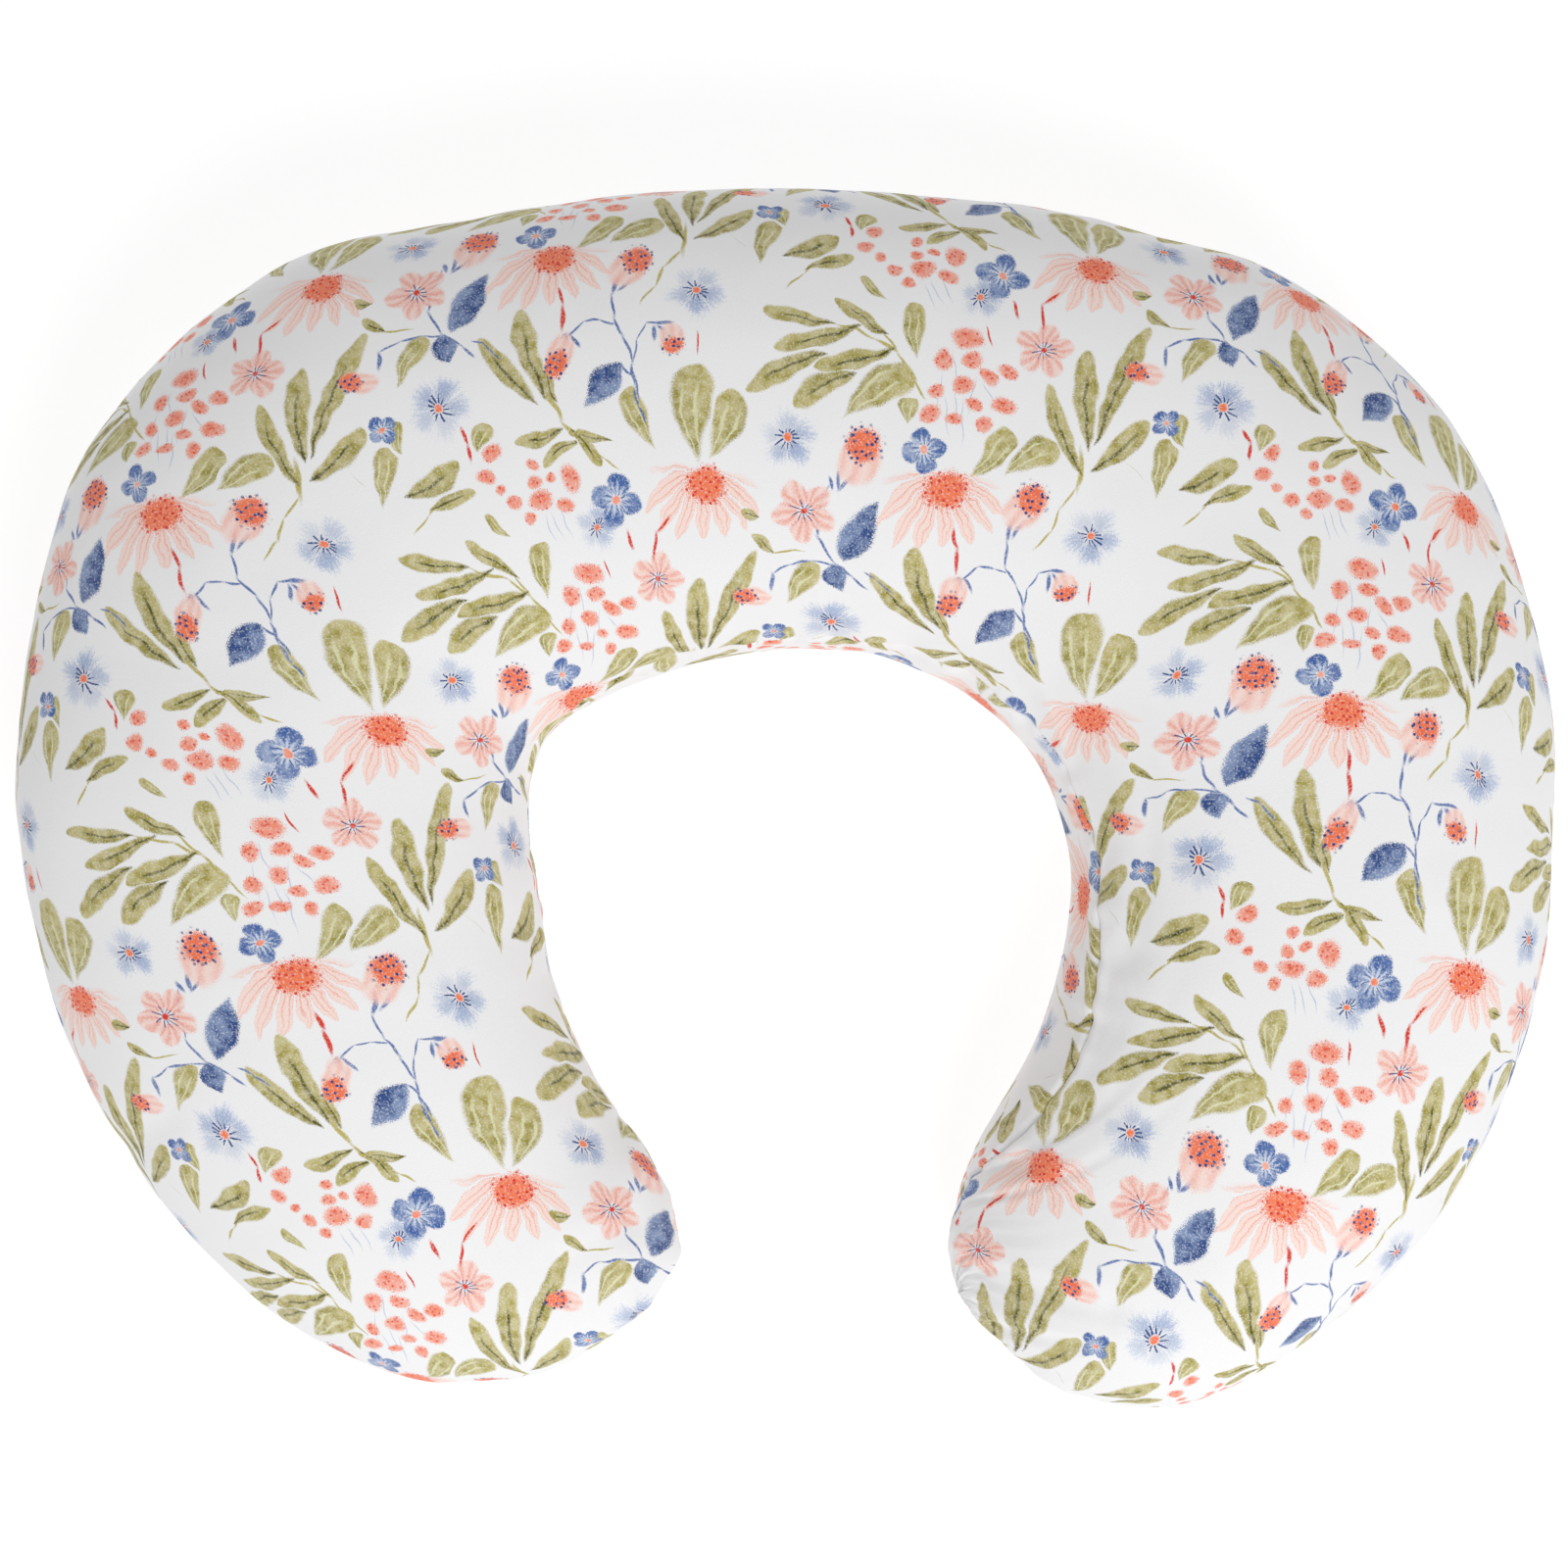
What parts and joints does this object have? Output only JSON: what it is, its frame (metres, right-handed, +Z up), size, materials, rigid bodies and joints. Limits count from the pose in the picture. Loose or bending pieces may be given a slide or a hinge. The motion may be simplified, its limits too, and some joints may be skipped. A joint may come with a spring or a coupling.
{
  "type": "nursing pillow",
  "caption": "C-shaped stuffed nursing pillow: printed cotton cover with a zip along the back edge, over a plain liner filled with polyester fibre.",
  "frame": {"origin": "under the middle of the pillow's bounding box, on the surface it lies on", "axes": "+X across the two arms, +Y towards the closed back of the C, +Z up"},
  "size_m": [0.5087, 0.4062, 0.1271],
  "materials": {
    "printed_cotton": "plain-weave cotton with a watercolour floral print",
    "liner_cloth": "plain white woven cloth",
    "fibre": "matt polyester fibre",
    "thread": "twisted polyester sewing thread",
    "zip_tape": "woven polyester tape",
    "zip_coil": "satin nylon",
    "zip_metal": "satin nickel plate",
    "label": "blank satin ribbon"
  },
  "bodies": {
    "pillow": {"cover_top_panel": "printed_cotton", "cover_bottom_panel": "printed_cotton", "cover_seam_thread": "thread", "zip_tape_upper": "zip_tape", "zip_tape_lower": "zip_tape", "zip_coil_upper": "zip_coil", "zip_coil_lower": "zip_coil", "zip_top_stops": "zip_metal", "zip_bottom_stop": "zip_metal", "care_label": "label", "liner_top_panel": "liner_cloth", "liner_bottom_panel": "liner_cloth", "liner_seam_thread": "thread", "liner_closing_stitches": "thread", "liner_label": "label", "fibre_filling": "fibre"},
    "slider": {"zip_slider": "zip_metal"},
    "pull": {"zip_pull": "zip_metal"}
  },
  "joints": [
    {"name": "slider_travel", "type": "hinge", "parent": "pillow", "child": "slider", "pos_m": [-0.004, -0.287, 0.044], "axis": [0, 0, 1], "range_deg": [0, 23.87]},
    {"name": "pull_swing", "type": "hinge", "parent": "slider", "child": "pull", "pos_m": [0.09753, 0.19342, 0.04333], "axis": [-0.0474, -0.2243, -0.9734], "range_deg": [0, 165]}
  ]
}
